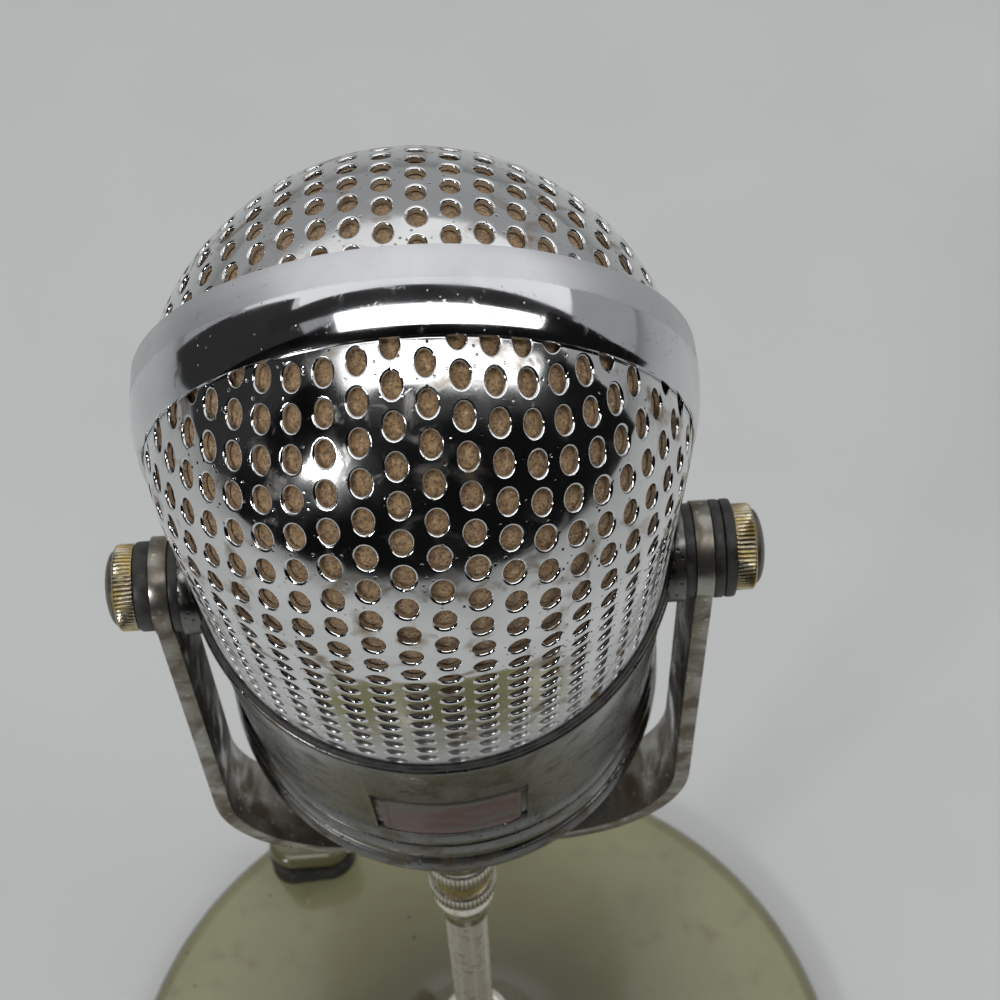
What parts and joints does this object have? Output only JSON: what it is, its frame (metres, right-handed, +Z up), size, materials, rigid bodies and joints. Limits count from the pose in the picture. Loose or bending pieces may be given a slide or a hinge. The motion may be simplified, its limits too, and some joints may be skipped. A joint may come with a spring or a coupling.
{
  "type": "desktop microphone with stand",
  "caption": "Capsule-shaped perforated microphone head with a bright arched band, hung in a swivelling yoke with thumb screws on a thin stem and a bell-shaped base.",
  "frame": {"origin": "centre of the base, on the table", "axes": "+Z up, the head faces -Y, the tilt axis lies along X"},
  "size_m": [0.173, 0.173, 0.3328],
  "materials": {
    "chrome_bright": "polished, scratched and pitted chrome plate",
    "chrome_satin": "satin chrome with brown tarnish",
    "nickel_warm": "warm nickel plate",
    "brass_worn": "nickel plate worn through to brass",
    "olive_paint": "glossy olive enamel",
    "dark_rubber": "aged black rubber",
    "tan_cloth": "coarse tan wind cloth",
    "badge_face": "faded rose enamel, blank",
    "steel_plain": "plain steel",
    "black_felt": "dark wool felt",
    "phenolic": "brown phenolic board",
    "winding": "varnished paper over the winding",
    "wire_cover": "red lead insulation",
    "foil": "thin metal foil",
    "magnet_iron": "bare magnet alloy"
  },
  "bodies": {
    "stand": {"base_casting": "olive_paint", "felt_pad": "black_felt", "base_plate": "steel_plain", "plate_screws": "steel_plain", "stem_washer": "steel_plain", "stem_nut": "steel_plain", "stem": "nickel_warm", "stem_collar": "nickel_warm", "button_bezel": "dark_rubber", "switch_body": "phenolic", "button_spring": "steel_plain"},
    "button": {"talk_button": "olive_paint"},
    "nut": {"coupling_nut": "brass_worn"},
    "yoke": {"yoke_strip": "chrome_satin", "yoke_socket": "nickel_warm", "yoke_nut": "steel_plain", "spacers": "dark_rubber", "left_washer": "dark_rubber", "right_washers": "dark_rubber"},
    "left_screw": {"left_thumbscrew": "brass_worn"},
    "right_screw": {"right_thumbscrew": "brass_worn"},
    "head": {"front_grille": "chrome_bright", "rear_grille": "chrome_bright", "front_cloth": "tan_cloth", "rear_cloth": "tan_cloth", "arch_band": "chrome_bright", "band_screws": "chrome_satin", "inner_frame": "steel_plain", "collar": "chrome_bright", "badge_plate": "badge_face", "stepped_ring": "chrome_satin", "bottom_cap": "chrome_satin", "cap_screws": "steel_plain", "trunnions": "chrome_satin", "trunnion_nuts": "steel_plain", "baffle": "steel_plain", "cartridge_cup": "magnet_iron", "magnet": "magnet_iron", "diaphragm": "foil", "cartridge_face": "phenolic", "rubber_mount": "dark_rubber", "chassis_plate": "steel_plain", "transformer_core": "magnet_iron", "transformer_coil": "winding", "terminal_strip": "phenolic", "output_socket": "nickel_warm", "socket_insert": "phenolic", "leads": "wire_cover"}
  },
  "joints": [
    {"name": "button_press", "type": "slide", "parent": "stand", "child": "button", "axis": [0, 0, -1], "range_m": [0, 0.0025], "stiffness_N_per_m": 400, "deforming": ["button_spring"]},
    {"name": "nut_turn", "type": "hinge", "parent": "stand", "child": "nut", "pos_m": [0, 0, 0.14], "axis": [0, 0, 1], "range_deg": [-180, 180]},
    {"name": "yoke_swivel", "type": "hinge", "parent": "stand", "child": "yoke", "pos_m": [0, 0, 0.16], "axis": [0, 0, 1], "range_deg": [-170, 170]},
    {"name": "left_screw_turn", "type": "hinge", "parent": "yoke", "child": "left_screw", "pos_m": [-0.04, 0, 0.258], "axis": [-1, 0, 0], "range_deg": [-180, 180]},
    {"name": "right_screw_turn", "type": "hinge", "parent": "yoke", "child": "right_screw", "pos_m": [0.04, 0, 0.258], "axis": [1, 0, 0], "range_deg": [-180, 180]},
    {"name": "head_tilt", "type": "hinge", "parent": "yoke", "child": "head", "pos_m": [0, 0, 0.258], "axis": [1, 0, 0], "range_deg": [-70, 50]}
  ]
}
